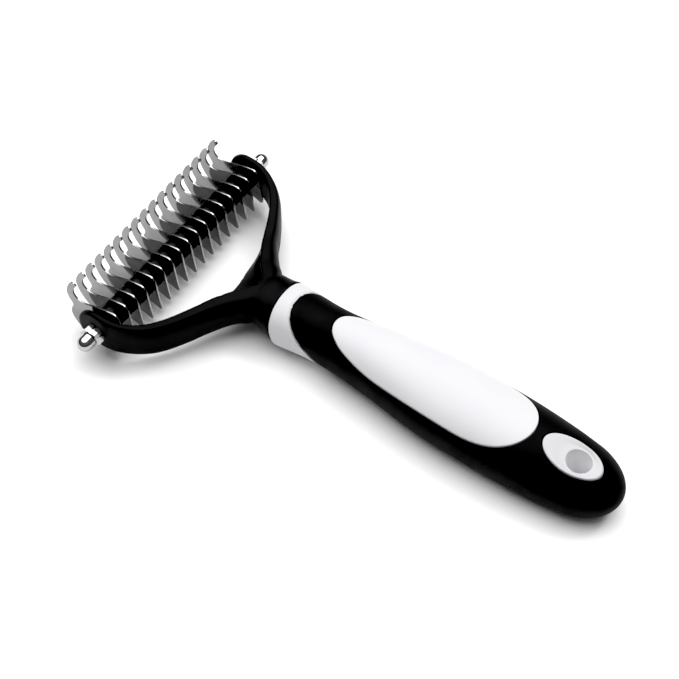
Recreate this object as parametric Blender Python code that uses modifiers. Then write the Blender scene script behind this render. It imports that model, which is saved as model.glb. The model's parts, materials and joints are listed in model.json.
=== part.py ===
"""Undercoat rake: hooked blades threaded on an axle, held in a forked yoke on a grip handle.

All sizes below are millimetres; the scene is built in metres.
X runs from the blades to the handle's end, Y along the axle and Z up.
The tool rests on the lower hooks of its blades and on the underside of its handle.
In the tables X is counted from the axle and Z from the ground.
"""
import math

import bmesh
import bpy
from mathutils import Vector

MM = 0.001
FIT_GAP = 0.3                 # clearance between two pieces that touch
OBJECT_NAME = "undercoat_rake"

# Axle and what is threaded on it
AXLE_X = -78.6                # puts the middle of the whole tool at X = 0
AXLE_Z = 12.4
AXLE_RADIUS = 1.9
AXLE_HALF_LENGTH = 48.6
AXLE_END_CHAMFER = 0.4
BORE_RADIUS = AXLE_RADIUS + FIT_GAP
ROUND_SEGMENTS = 18

BLADE_COUNT = 17
BLADE_PITCH = 4.8
BLADE_THICKNESS = 0.6
BLADE_RESOLUTION = 2          # straight pieces between two outline points
HOLE_RESOLUTION = 4

SPACER_RADIUS = 4.4
SPACER_LENGTH = BLADE_PITCH - BLADE_THICKNESS - 2 * FIT_GAP
END_SPACER_LENGTH = 1.7

# Yoke arm at the axle
ARM_INNER_Y = 41.0
ARM_OUTER_Y = 43.0
WASHER_GAP = 0.2
WASHER_RADIUS = 3.0
WASHER_THICKNESS = 0.4

# Cap nut
NUT_FACE_Y = ARM_OUTER_Y + WASHER_THICKNESS + 2 * WASHER_GAP
HEX_ACROSS_FLATS = 6.8
HEX_HEIGHT = 2.5
HEX_TURN = 3.0                # degrees that the hexagon is turned about the axle
CAP_RADIUS = 2.8
CAP_CENTRE_Y = 48.8
CAP_STEPS = 5
NUT_BORE_DEPTH = 5.4

# Blade outlines: (x from the axle, z from the axle, sharp corner)
BLADE_UPPER = [
    (-10.6, 11.9, True), (-11.5, 12.8, False), (-12.7, 12.5, False), (-14.5, 9.7, False),
    (-15.5, 6.1, False), (-15.1, 3.4, False), (-13.7, 0.2, False),
]
BLADE_LOWER_HOOK = [
    (-14.7, -2.6, False), (-15.0, -5.2, False), (-13.7, -8.4, False), (-10.4, -11.4, False),
    (-7.4, -12.4, True), (-8.4, -10.1, False), (-8.5, -7.2, False), (-6.4, -5.8, False),
]
BLADE_PLAIN_BACK = [(-11.8, -2.3, False), (-9.4, -4.5, False)]
BLADE_EDGE = [
    (-3.0, -5.4, False), (1.5, -5.7, False), (5.0, -6.5, False), (7.7, -7.3, False),
    (8.1, -6.9, False), (7.6, -2.4, False), (7.1, 1.8, False), (6.6, 5.8, False),
    (6.0, 7.0, False), (3.4, 8.1, False), (0.6, 7.6, False), (-2.8, 6.5, False),
    (-8.2, 4.5, False), (-10.4, 4.5, False), (-12.3, 6.2, False), (-12.4, 8.5, False),
]

# Yoke arm from its round end to the throat:
# (rim inside x, y, rim outside x, y, widest x, y, inner foot x, y, underside z, rim z)
ARM_SECTIONS = [
    (-7.5, 41.0, -7.5, 42.6, -7.5, 42.8, -7.5, 41.0, 11.0, 14.4),
    (-6.6, 41.0, -6.6, 42.7, -6.6, 43.0, -6.6, 41.0, 8.7, 16.7),
    (-4.8, 41.0, -4.8, 42.8, -4.8, 43.0, -4.8, 41.0, 6.7, 18.7),
    (-2.5, 41.0, -2.5, 42.8, -2.5, 43.0, -2.5, 41.0, 5.4, 20.0),
    (0.0, 41.0, 0.0, 42.8, 0.0, 43.0, 0.0, 41.0, 5.1, 20.3),
    (4.0, 40.8, 4.2, 42.6, 4.2, 43.0, 4.0, 40.8, 5.4, 19.9),
    (7.0, 40.0, 8.0, 41.6, 8.2, 42.1, 7.0, 40.0, 5.5, 19.4),
    (10.5, 38.2, 11.7, 39.6, 12.2, 40.3, 10.5, 38.2, 5.6, 18.9),
    (13.4, 35.7, 15.0, 37.1, 15.7, 37.9, 13.3, 35.6, 5.5, 18.5),
    (15.9, 32.7, 17.7, 34.1, 18.7, 34.9, 15.7, 32.3, 5.3, 18.2),
    (18.1, 29.5, 20.0, 30.7, 21.2, 31.5, 17.6, 28.8, 5.3, 18.1),
    (20.0, 26.1, 22.1, 27.2, 23.5, 28.0, 19.2, 25.4, 5.6, 18.1),
    (21.8, 22.5, 24.0, 23.7, 25.6, 24.5, 20.5, 21.8, 5.9, 18.2),
    (23.6, 18.7, 25.8, 19.9, 27.7, 20.8, 21.7, 17.8, 6.4, 18.2),
    (25.3, 15.2, 27.6, 16.3, 30.0, 17.6, 22.6, 14.0, 7.1, 18.5),
    (27.2, 11.9, 29.6, 13.0, 32.3, 14.9, 23.3, 10.6, 8.0, 18.8),
    (29.4, 8.5, 32.0, 9.8, 35.0, 11.9, 23.8, 7.2, 8.3, 19.1),
    (32.4, 5.0, 35.2, 6.4, 38.3, 8.8, 24.2, 3.8, 8.0, 19.6),
]
THROAT_SECTION = (36.0, 0.0, 40.0, 0.0, 44.0, 0.0, 24.3, 0.0, 7.6, 20.0)
OUTER_FALL = 5.0              # depth over which the outer wall swells to its widest
EDGE_ROUND = 1.2              # rounding along the underside of the arms
SHELF_DROP = 3.0              # inner wall above the web of the throat

# Grooves between the web and the arms, one side: (x, y) of the outline
GROOVE_OUTLINE = [(26.9, 12.4), (30.0, 7.9), (34.0, 3.2), (33.6, 1.1), (30.4, 4.6), (26.8, 9.2)]
GROOVE_FLOOR_Z = 10.0

# Yoke neck, meeting the collar: (x, half width, underside z, top z, section exponent)
NECK_SECTIONS = [
    (36.4, 6.6, 8.2, 19.2, 2.8), (38.5, 9.0, 5.4, 20.0, 2.6), (41.0, 9.4, 4.0, 20.4, 2.5),
    (44.0, 10.0, 2.8, 20.4, 2.3), (46.8, 11.0, 1.8, 20.7, 2.2),
]
TANG_START_X = 45.0
TANG_END_X = 72.0
TANG_WIDTH = 8.4
TANG_HEIGHT = 7.6
TANG_Z = 11.6
TANG_BEVEL = 0.8

# Handle: (x, half width, underside z, top z)
HANDLE_SECTIONS = [
    (47.1, 11.2, 1.5, 21.0), (64.2, 9.9, 2.7, 21.2), (84.2, 11.4, 2.0, 22.9),
    (106.2, 14.2, 0.6, 23.1), (129.2, 14.7, 0.0, 22.7), (149.2, 13.9, 0.0, 20.9),
    (164.2, 12.1, 1.0, 19.2), (173.8, 11.5, 1.6, 18.8),
]
UPPER_EXPONENT = 2.1
LOWER_EXPONENT = 2.6
HANDLE_SEGMENTS = 32
HANDLE_MID_Z = 11.1
END_ROUND_X = 159.2
HANDLE_END_X = 173.8
COLLAR_FRONT_X = 47.1
COLLAR_FRONT_LEAN = -0.19     # X gained for each step up in Z
GRIP_FRONT_X = 60.6
GRIP_FRONT_LEAN = -1.05
GRIP_STATIONS = [71.0, 77.0, 84.0, 95.0, 106.0, 118.0, 130.0, 142.0, 152.0, 159.0, 164.5, 168.6,
                 171.6, 173.2]
GRIP_WALL = 2.2
CORE_TANG_STATIONS = [72.0, 84.0, 98.0]

# Thumb pad, half of its oval: (x, half width)
PAD_OUTLINE = [
    (66.2, 0.0), (67.0, 3.0), (69.6, 5.5), (74.6, 7.8), (84.3, 10.0), (99.3, 11.7), (113.4, 12.5),
    (124.0, 12.5), (131.6, 11.2), (136.8, 8.5), (140.0, 4.6), (141.1, 0.0),
]
OUTLINE_PARTS = 2             # straight pieces between two points of a smooth outline
PAD_DEPTH = 1.8
PAD_RINGS = [0.3, 0.62, 0.86, 1.0]
PAD_RAISE = 0.15

# Hanging eyelet
EYELET_CENTRE_X = 155.2
EYELET_HALF_LENGTH = 10.4
EYELET_HALF_WIDTH = 6.2
EYELET_DEPTH = 3.2
EYELET_DISH = 1.1
EYELET_TUBE_RADIUS = 5.4
HANG_HOLE_X = 157.5
HANG_HOLE_RADIUS = 4.1
EYELET_SEGMENTS = 28

# Colours: (red, green, blue), roughness, metallic
BLACK_RUBBER = ((0.012, 0.012, 0.013), 0.55, 0.0)
BLACK_PLASTIC = ((0.010, 0.010, 0.011), 0.42, 0.0)
WHITE_PLASTIC = ((0.86, 0.86, 0.87), 0.38, 0.0)
POLISHED_STEEL = ((0.62, 0.62, 0.63), 0.12, 1.0)
DULL_STEEL = ((0.55, 0.55, 0.56), 0.32, 1.0)
CHROME = ((0.80, 0.80, 0.81), 0.08, 1.0)

SMOOTH_ANGLE = math.radians(40)


# ---------------------------------------------------------------- scene helpers

def clear_scene():
    """Remove whatever the start-up scene holds."""
    for item in list(bpy.data.objects):
        bpy.data.objects.remove(item, do_unlink=True)


def new_collection(name):
    group = bpy.data.collections.new(name)
    bpy.context.scene.collection.children.link(group)
    return group


def make_material(name, look):
    """Principled material from a (colour, roughness, metallic) entry."""
    colour, roughness, metallic = look
    material = bpy.data.materials.new(name)
    material.use_nodes = True
    shader = material.node_tree.nodes["Principled BSDF"]
    shader.inputs["Base Color"].default_value = (*colour, 1.0)
    shader.inputs["Roughness"].default_value = roughness
    shader.inputs["Metallic"].default_value = metallic
    material.diffuse_color = (*colour, 1.0)
    return material


def add_part(name, data, look):
    """Put a sub-part in the object's collection, on the axle's own origin in X."""
    part = bpy.data.objects.new(name, data)
    parts.objects.link(part)
    part.location = (AXLE_X * MM, 0.0, 0.0)
    data.materials.append(make_material(name, look))
    return part


def add_cutter(name, mesh):
    """Put a boolean operand in the cutters' collection, hidden from renders."""
    tool = bpy.data.objects.new(name, mesh)
    cutters.objects.link(tool)
    tool.location = (AXLE_X * MM, 0.0, 0.0)
    tool.hide_render = True
    tool.display_type = "WIRE"
    return tool


def combine(part, tool, operation):
    """Join, cut or trim a part with another mesh."""
    step = part.modifiers.new(tool.name, "BOOLEAN")
    step.operation = operation
    step.solver = "EXACT"
    step.object = tool


def smooth(mesh):
    """Shade smooth, with creases at the real edges."""
    mesh.shade_smooth()
    mesh.set_sharp_from_angle(angle=SMOOTH_ANGLE)


# ---------------------------------------------------------------- mesh builders

def loft(name, rings, closed=False):
    """Skin a row of equal-length point rings; closed joins the last ring to the first."""
    mesh = bpy.data.meshes.new(name)
    build = bmesh.new()
    rows = [[build.verts.new(Vector(point) * MM) for point in ring] for ring in rings]
    pairs = list(zip(rows, rows[1:]))
    if closed:
        pairs.append((rows[-1], rows[0]))
    else:
        build.faces.new(rows[0])
        build.faces.new(rows[-1])
    for first, second in pairs:
        count = len(first)
        for index in range(count):
            after = (index + 1) % count
            build.faces.new((first[index], first[after], second[after], second[index]))
    bmesh.ops.recalc_face_normals(build, faces=build.faces)
    build.to_mesh(mesh)
    build.free()
    smooth(mesh)
    return mesh


def lathe_object(name, profile, look, centre_y):
    """Turn an (outer radius, height) profile about the axle; height runs along +Y."""
    mesh = bpy.data.meshes.new(name)
    count = len(profile)
    joined = profile[0][0] > 0
    edges = [(index, index + 1) for index in range(count - 1)]
    if joined:
        edges.append((count - 1, 0))
    mesh.from_pydata([(radius * MM, 0.0, height * MM) for radius, height in profile], edges, [])
    part = add_part(name, mesh, look)
    part.location = (AXLE_X * MM, centre_y * MM, AXLE_Z * MM)
    part.rotation_euler = (math.radians(-90), 0.0, 0.0)
    turn = part.modifiers.new("turn", "SCREW")
    turn.axis = "Z"
    turn.angle = math.radians(360)
    turn.steps = ROUND_SEGMENTS
    turn.render_steps = ROUND_SEGMENTS
    turn.use_merge_vertices = True
    turn.merge_threshold = 0.00001
    turn.use_smooth_shade = True
    return part


def tube_profile(outer, inner, length):
    """Closed profile of a plain ring, starting at its top outer edge."""
    half = length / 2
    return [(outer, half), (outer, -half), (inner, -half), (inner, half)]


def cylinder_mesh(name, radius, start, end, segments=ROUND_SEGMENTS, turn=0.0):
    """Cylinder along the axle from Y start to Y end."""
    rings = []
    for y in (start, end):
        ring = []
        for index in range(segments):
            angle = math.radians(turn) + 2 * math.pi * index / segments
            ring.append((radius * math.cos(angle), y, AXLE_Z + radius * math.sin(angle)))
        rings.append(ring)
    return loft(name, rings)


# ---------------------------------------------------------------- head

def add_outline_spline(curve, points):
    """Smooth closed outline; sharp points get straight handles."""
    spline = curve.splines.new("BEZIER")
    spline.bezier_points.add(len(points) - 1)
    for knot, (x, z, sharp) in zip(spline.bezier_points, points):
        knot.co = (x * MM, z * MM, 0.0)
        style = "VECTOR" if sharp else "AUTO"
        knot.handle_left_type = style
        knot.handle_right_type = style
    spline.use_cyclic_u = True
    spline.resolution_u = BLADE_RESOLUTION


def add_hole_spline(curve, radius):
    """Round hole about the axle."""
    spline = curve.splines.new("BEZIER")
    corners = [(radius, 0.0), (0.0, radius), (-radius, 0.0), (0.0, -radius)]
    spline.bezier_points.add(len(corners) - 1)
    for knot, (x, z) in zip(spline.bezier_points, corners):
        knot.co = (x * MM, z * MM, 0.0)
        knot.handle_left_type = "AUTO"
        knot.handle_right_type = "AUTO"
    spline.use_cyclic_u = True
    spline.resolution_u = HOLE_RESOLUTION


def blade_y(number):
    """Blades are numbered from the +Y side."""
    return ((BLADE_COUNT + 1) / 2 - number) * BLADE_PITCH


def build_blade(number):
    """Odd blades have a hook above and below, even ones only above."""
    name = f"blade_{number:02d}"
    back = BLADE_LOWER_HOOK if number % 2 else BLADE_PLAIN_BACK
    curve = bpy.data.curves.new(name, "CURVE")
    curve.dimensions = "2D"
    curve.fill_mode = "BOTH"
    curve.extrude = BLADE_THICKNESS / 2 * MM
    add_outline_spline(curve, BLADE_UPPER + back + BLADE_EDGE)
    add_hole_spline(curve, BORE_RADIUS)
    blade = add_part(name, curve, POLISHED_STEEL)
    blade.location = (AXLE_X * MM, blade_y(number) * MM, AXLE_Z * MM)
    blade.rotation_euler = (math.radians(90), 0.0, 0.0)


def build_axle():
    """Rod with chamfered ends, reaching into both cap nuts."""
    tip = AXLE_RADIUS - AXLE_END_CHAMFER
    shoulder = AXLE_HALF_LENGTH - AXLE_END_CHAMFER
    profile = [
        (0.0, AXLE_HALF_LENGTH), (tip, AXLE_HALF_LENGTH), (AXLE_RADIUS, shoulder),
        (AXLE_RADIUS, -shoulder), (tip, -AXLE_HALF_LENGTH), (0.0, -AXLE_HALF_LENGTH),
    ]
    lathe_object("axle_rod", profile, DULL_STEEL, 0.0)


def build_spacers():
    """One spacer in every gap between blades, and a thin one at each end of the row."""
    for number in range(1, BLADE_COUNT):
        middle = blade_y(number) - BLADE_PITCH / 2
        profile = tube_profile(SPACER_RADIUS, BORE_RADIUS, SPACER_LENGTH)
        lathe_object(f"spacer_{number:02d}", profile, BLACK_PLASTIC, middle)
    end_y = ARM_INNER_Y - FIT_GAP - END_SPACER_LENGTH / 2
    for side, sign in (("far", 1), ("near", -1)):
        profile = tube_profile(SPACER_RADIUS, BORE_RADIUS, END_SPACER_LENGTH)
        lathe_object(f"end_spacer_{side}", profile, BLACK_PLASTIC, sign * end_y)


def build_washers():
    """A thin washer between each arm and its cap nut."""
    middle = ARM_OUTER_Y + WASHER_GAP + WASHER_THICKNESS / 2
    for side, sign in (("far", 1), ("near", -1)):
        profile = tube_profile(WASHER_RADIUS, BORE_RADIUS, WASHER_THICKNESS)
        lathe_object(f"washer_{side}", profile, DULL_STEEL, sign * middle)


def cap_profile():
    """Plain barrel with a domed end, height counted from the nut's face."""
    centre = CAP_CENTRE_Y - NUT_FACE_Y
    dome = []
    for step in range(CAP_STEPS + 1):
        angle = math.pi / 2 * (1 - step / CAP_STEPS)
        dome.append((CAP_RADIUS * math.cos(angle), centre + CAP_RADIUS * math.sin(angle)))
    dome[0] = (0.0, centre + CAP_RADIUS)
    return dome + [(CAP_RADIUS, 0.0), (0.0, 0.0)]


def build_cap_nut(side, sign):
    """Domed cap nut: barrel, hexagon and blind bore."""
    nut = lathe_object(f"cap_nut_{side}", cap_profile(), CHROME, sign * NUT_FACE_Y)
    nut.rotation_euler = (math.radians(-90 * sign), 0.0, 0.0)
    corner = HEX_ACROSS_FLATS / math.sqrt(3)
    face = sign * NUT_FACE_Y
    hexagon = cylinder_mesh(
        f"hexagon_{side}", corner, face, sign * (NUT_FACE_Y + HEX_HEIGHT), 6, HEX_TURN)
    combine(nut, add_cutter(f"hexagon_{side}", hexagon), "UNION")
    bore = cylinder_mesh(
        f"nut_bore_{side}", BORE_RADIUS, sign * (NUT_FACE_Y - 1.0), sign * (NUT_FACE_Y + NUT_BORE_DEPTH))
    combine(nut, add_cutter(f"nut_bore_{side}", bore), "DIFFERENCE")


# ---------------------------------------------------------------- yoke

def arm_ring(section, sign):
    """Cross-section of an arm: straight inner wall, level rim and swelling outer wall."""
    rim_x, rim_y, out_x, out_y, wide_x, wide_y, foot_x, foot_y, low, high = section
    fall = min(OUTER_FALL, 0.5 * (high - low))
    edge = min(EDGE_ROUND, 0.4 * (high - low))
    shelf = min(SHELF_DROP, 0.5 * (high - low))
    ring = [(foot_x, foot_y, low), (rim_x, rim_y, high - shelf), (rim_x, rim_y, high)]
    for degrees in (0, 30, 60, 90):
        angle = math.radians(degrees)
        swell = math.sin(angle)
        x = out_x + (wide_x - out_x) * swell
        y = out_y + (wide_y - out_y) * swell
        ring.append((x, y, high - fall * (1 - math.cos(angle))))
    reach = max(math.hypot(wide_x - rim_x, wide_y - rim_y), edge)
    in_x = (rim_x - wide_x) / reach
    in_y = (rim_y - wide_y) / reach
    for degrees in (0, 45, 90):
        angle = math.radians(degrees)
        step = edge * (1 - math.cos(angle))
        ring.append((wide_x + in_x * step, wide_y + in_y * step, low + edge * (1 - math.sin(angle))))
    return [(x, sign * y, z) for x, y, z in ring]


def super_ring(x, half_width, low, high, exponent, lean):
    """Rounded-oval section of the neck."""
    middle = (low + high) / 2
    ring = []
    for index in range(HANDLE_SEGMENTS):
        angle = 2 * math.pi * index / HANDLE_SEGMENTS
        y = half_width * signed_power(math.cos(angle), 2 / exponent)
        z = middle + (high - low) / 2 * signed_power(math.sin(angle), 2 / exponent)
        ring.append((x + lean * (z - HANDLE_MID_Z), y, z))
    return ring


def build_yoke():
    """Two arms in one sweep, a flared neck and a tang that enters the handle."""
    rings = [arm_ring(section, 1) for section in ARM_SECTIONS]
    rings.append(arm_ring(THROAT_SECTION, 1))
    rings += [arm_ring(section, -1) for section in reversed(ARM_SECTIONS)]
    yoke = add_part("yoke", loft("yoke", rings), BLACK_PLASTIC)

    last = NECK_SECTIONS[-1][0]
    neck = [super_ring(*section, COLLAR_FRONT_LEAN * section[0] / last) for section in NECK_SECTIONS]
    combine(yoke, add_cutter("yoke_neck", loft("yoke_neck", neck)), "UNION")

    tang = bar_mesh("yoke_tang", TANG_START_X, TANG_END_X, TANG_WIDTH, TANG_HEIGHT)
    combine(yoke, add_cutter("yoke_tang", tang), "UNION")

    bore = cylinder_mesh("axle_bore", BORE_RADIUS, -ARM_OUTER_Y - 1.0, ARM_OUTER_Y + 1.0)
    combine(yoke, add_cutter("axle_bore", bore), "DIFFERENCE")
    for side, sign in (("far", 1), ("near", -1)):
        rings = [[(x, sign * y, z) for x, y in GROOVE_OUTLINE] for z in (GROOVE_FLOOR_Z, 25.0)]
        groove = loft(f"groove_{side}", rings)
        combine(yoke, add_cutter(f"groove_{side}", groove), "DIFFERENCE")


def bar_mesh(name, start, end, width, height):
    """Square bar along X with broken corners."""
    rings = []
    for x in (start, end):
        half_y = width / 2
        half_z = height / 2
        corners = [
            (half_y, half_z - TANG_BEVEL), (half_y - TANG_BEVEL, half_z),
            (TANG_BEVEL - half_y, half_z), (-half_y, half_z - TANG_BEVEL),
            (-half_y, TANG_BEVEL - half_z), (TANG_BEVEL - half_y, -half_z),
            (half_y - TANG_BEVEL, -half_z), (half_y, TANG_BEVEL - half_z),
        ]
        rings.append([(x, y, TANG_Z + z) for y, z in corners])
    return loft(name, rings)


# ---------------------------------------------------------------- handle

def signed_power(value, power):
    return math.copysign(abs(value) ** power, value)


def handle_size(x):
    """Half width, underside and top of the handle at x, smooth through the table."""
    table = HANDLE_SECTIONS
    x = min(max(x, table[0][0]), table[-1][0])
    index = 0
    while index < len(table) - 2 and x > table[index + 1][0]:
        index += 1
    before = table[max(index - 1, 0)]
    left = table[index]
    right = table[index + 1]
    after = table[min(index + 2, len(table) - 1)]
    span = right[0] - left[0]
    t = (x - left[0]) / span
    values = []
    for column in (1, 2, 3):
        slope_left = (right[column] - before[column]) / (right[0] - before[0]) * span
        slope_right = (after[column] - left[column]) / (after[0] - left[0]) * span
        values.append(
            (2 * t ** 3 - 3 * t ** 2 + 1) * left[column] + (t ** 3 - 2 * t ** 2 + t) * slope_left
            + (3 * t ** 2 - 2 * t ** 3) * right[column] + (t ** 3 - t ** 2) * slope_right)
    half_width, low, high = values
    if x > END_ROUND_X:
        share = (x - END_ROUND_X) / (HANDLE_END_X - END_ROUND_X)
        scale = math.sqrt(max(1 - share ** 2, 0.0))
        middle = (low + high) / 2
        half_width *= scale
        low = middle + (low - middle) * scale
        high = middle + (high - middle) * scale
    return half_width, max(low, 0.0), high


def handle_point(x, angle, inset):
    """Point of the handle's surface at x, moved inwards by inset."""
    half_width, low, high = handle_size(x)
    middle = (low + high) / 2
    exponent = UPPER_EXPONENT if math.sin(angle) >= 0 else LOWER_EXPONENT
    y = (half_width - inset) * signed_power(math.cos(angle), 2 / exponent)
    z = middle + ((high - low) / 2 - inset) * signed_power(math.sin(angle), 2 / exponent)
    return y, z


def handle_ring(x, lean=0.0, inset=0.0):
    """Ring of surface points lying in a plane that leans by lean."""
    ring = []
    for index in range(HANDLE_SEGMENTS):
        angle = 2 * math.pi * index / HANDLE_SEGMENTS
        here = x
        for _ in range(6):
            y, z = handle_point(here, angle, inset)
            here = x + lean * (z - HANDLE_MID_Z)
        ring.append((here, y, z))
    return ring


def top_height(x, y):
    """Height of the handle's upper surface."""
    half_width, low, high = handle_size(x)
    middle = (low + high) / 2
    share = min(abs(y) / half_width, 1.0)
    return middle + (high - middle) * (1 - share ** UPPER_EXPONENT) ** (1 / UPPER_EXPONENT)


def low_height(x):
    return handle_size(x)[1]


def build_core():
    """White core: the collar in front and a tongue inside the grip, with the yoke's socket."""
    wall = GRIP_WALL + FIT_GAP
    back = GRIP_FRONT_X - FIT_GAP / math.cos(math.atan(GRIP_FRONT_LEAN))
    rings = [
        handle_ring(COLLAR_FRONT_X, COLLAR_FRONT_LEAN, 0.5),
        handle_ring(COLLAR_FRONT_X + 0.5, COLLAR_FRONT_LEAN),
        handle_ring(COLLAR_FRONT_X + 5.0, 0.5 * (COLLAR_FRONT_LEAN + GRIP_FRONT_LEAN)),
        handle_ring(back, GRIP_FRONT_LEAN),
        handle_ring(back, GRIP_FRONT_LEAN, wall),
    ]
    rings += [handle_ring(x, 0.0, wall) for x in CORE_TANG_STATIONS]
    core = add_part("handle_core", loft("handle_core", rings), WHITE_PLASTIC)
    socket = bar_mesh(
        "yoke_socket", TANG_START_X - 5.0, TANG_END_X + FIT_GAP,
        TANG_WIDTH + 2 * FIT_GAP, TANG_HEIGHT + 2 * FIT_GAP)
    combine(core, add_cutter("yoke_socket", socket), "DIFFERENCE")


def build_grip():
    """Black sleeve over the core, with a pocket for the pad and a seat for the eyelet."""
    cavity = [handle_ring(x, 0.0, GRIP_WALL) for x in reversed(CORE_TANG_STATIONS[:-1])]
    cavity.insert(0, handle_ring(CORE_TANG_STATIONS[-1] + FIT_GAP, 0.0, GRIP_WALL))
    rings = cavity + [
        handle_ring(GRIP_FRONT_X, GRIP_FRONT_LEAN, GRIP_WALL),
        handle_ring(GRIP_FRONT_X, GRIP_FRONT_LEAN),
        handle_ring(GRIP_FRONT_X + 5.0, 0.5 * GRIP_FRONT_LEAN),
    ]
    rings += [handle_ring(x) for x in GRIP_STATIONS]
    grip = add_part("grip_sleeve", loft("grip_sleeve", rings), BLACK_RUBBER)
    pad_pocket = patch_mesh("pad_pocket", grow(pad_outline(), FIT_GAP), 3.0, -PAD_DEPTH - FIT_GAP)
    combine(grip, add_cutter("pad_pocket", pad_pocket), "DIFFERENCE")
    seat = patch_mesh("eyelet_seat", grow(eyelet_outline(), FIT_GAP), 3.0, -EYELET_DEPTH - FIT_GAP)
    combine(grip, add_cutter("eyelet_seat", seat), "DIFFERENCE")
    radius = EYELET_TUBE_RADIUS + FIT_GAP
    hole = loft("eyelet_hole", [oval(HANG_HOLE_X, radius, radius, z) for z in (-3.0, 25.0)])
    combine(grip, add_cutter("eyelet_hole", hole), "DIFFERENCE")


def smooth_outline(points):
    """Closed Catmull-Rom curve through the points."""
    count = len(points)
    result = []
    for index in range(count):
        before, left, right, after = (points[(index + shift) % count] for shift in (-1, 0, 1, 2))
        for part in range(OUTLINE_PARTS):
            t = part / OUTLINE_PARTS
            weights = (
                (-t + 2 * t ** 2 - t ** 3) / 2, (2 - 5 * t ** 2 + 3 * t ** 3) / 2,
                (t + 4 * t ** 2 - 3 * t ** 3) / 2, (t ** 3 - t ** 2) / 2)
            knots = (before, left, right, after)
            x = sum(weight * knot[0] for weight, knot in zip(weights, knots))
            y = sum(weight * knot[1] for weight, knot in zip(weights, knots))
            result.append((x, y))
    return result


def pad_outline():
    """Whole oval of the pad as (x, y) points."""
    return smooth_outline(PAD_OUTLINE + [(x, -y) for x, y in reversed(PAD_OUTLINE[1:-1])])


def eyelet_outline():
    return [(x, y) for x, y, _ in oval(EYELET_CENTRE_X, EYELET_HALF_LENGTH, EYELET_HALF_WIDTH, 0.0)]


def oval(centre_x, half_length, half_width, z):
    """Ring of points in a level plane."""
    ring = []
    for index in range(EYELET_SEGMENTS):
        angle = 2 * math.pi * index / EYELET_SEGMENTS
        ring.append((centre_x + half_length * math.cos(angle), half_width * math.sin(angle), z))
    return ring


def grow(outline, distance):
    """Move every point of a convex outline outwards from its middle line."""
    centre_x = (min(x for x, _ in outline) + max(x for x, _ in outline)) / 2
    half_length = max(x for x, _ in outline) - centre_x
    half_width = max(y for _, y in outline)
    stretch_x = 1 + distance / half_length
    stretch_y = 1 + distance / half_width
    return [(centre_x + (x - centre_x) * stretch_x, y * stretch_y) for x, y in outline]


def patch_mesh(name, outline, lift, drop):
    """Lens that follows the handle's top, from drop below the surface to lift above it."""
    centre_x = (min(x for x, _ in outline) + max(x for x, _ in outline)) / 2
    rings = []
    for side, offset in ((1, lift), (-1, drop)):
        for share in PAD_RINGS[::side]:
            ring = []
            for x, y in outline:
                spot_x = centre_x + (x - centre_x) * share
                spot_y = y * share
                ring.append((spot_x, spot_y, top_height(spot_x, spot_y) + offset))
            rings.append(ring)
    return loft(name, rings)


def build_pad():
    """Smooth white inlay under the thumb."""
    add_part("thumb_pad", patch_mesh("thumb_pad", pad_outline(), PAD_RAISE, -PAD_DEPTH), WHITE_PLASTIC)


def eyelet_ring(blend, radius, surface_drop=None, z=None):
    """Ring between the eyelet's oval (blend 0) and a circle about the hanging hole (blend 1)."""
    ring = []
    outer = oval(EYELET_CENTRE_X, EYELET_HALF_LENGTH, EYELET_HALF_WIDTH, 0.0)
    inner = oval(HANG_HOLE_X, radius, radius, 0.0)
    for (outer_x, outer_y, _), (inner_x, inner_y, _) in zip(outer, inner):
        x = outer_x + (inner_x - outer_x) * blend
        y = outer_y + (inner_y - outer_y) * blend
        height = z if surface_drop is None else top_height(x, y) - surface_drop
        ring.append((x, y, height))
    return ring


def build_eyelet():
    """White ring dished round the hanging hole, with a tube down to the underside."""
    low = low_height(HANG_HOLE_X) + FIT_GAP
    rings = [
        eyelet_ring(0.0, HANG_HOLE_RADIUS, surface_drop=0.0),
        eyelet_ring(0.15, HANG_HOLE_RADIUS, surface_drop=0.1),
        eyelet_ring(0.6, HANG_HOLE_RADIUS, surface_drop=0.6 * EYELET_DISH),
        eyelet_ring(0.92, HANG_HOLE_RADIUS, surface_drop=EYELET_DISH),
        eyelet_ring(1.0, HANG_HOLE_RADIUS, surface_drop=EYELET_DISH + 0.5),
        eyelet_ring(1.0, HANG_HOLE_RADIUS, z=low),
        eyelet_ring(1.0, EYELET_TUBE_RADIUS, z=low),
        eyelet_ring(1.0, EYELET_TUBE_RADIUS, surface_drop=EYELET_DEPTH),
        eyelet_ring(0.5, EYELET_TUBE_RADIUS, surface_drop=EYELET_DEPTH - 0.1),
        eyelet_ring(0.0, EYELET_TUBE_RADIUS, surface_drop=EYELET_DEPTH - 0.2),
    ]
    add_part("hang_eyelet", loft("hang_eyelet", rings, closed=True), WHITE_PLASTIC)


# ---------------------------------------------------------------- build

clear_scene()
parts = new_collection(OBJECT_NAME)
cutters = new_collection("cutters")

build_grip()
build_core()
build_pad()
build_eyelet()
build_yoke()
build_axle()
for blade_number in range(1, BLADE_COUNT + 1):
    build_blade(blade_number)
build_spacers()
build_washers()
for nut_side, nut_sign in (("far", 1), ("near", -1)):
    build_cap_nut(nut_side, nut_sign)
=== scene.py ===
"""Looks of the undercoat rake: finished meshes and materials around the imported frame.

Sizes are in millimetres, with X counted from the axle and Z from the ground, as in the CAD.
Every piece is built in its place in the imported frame, then rides on its CAD body.
"""
import json
import math

import bmesh
import bpy
from mathutils import Matrix, Vector


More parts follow.
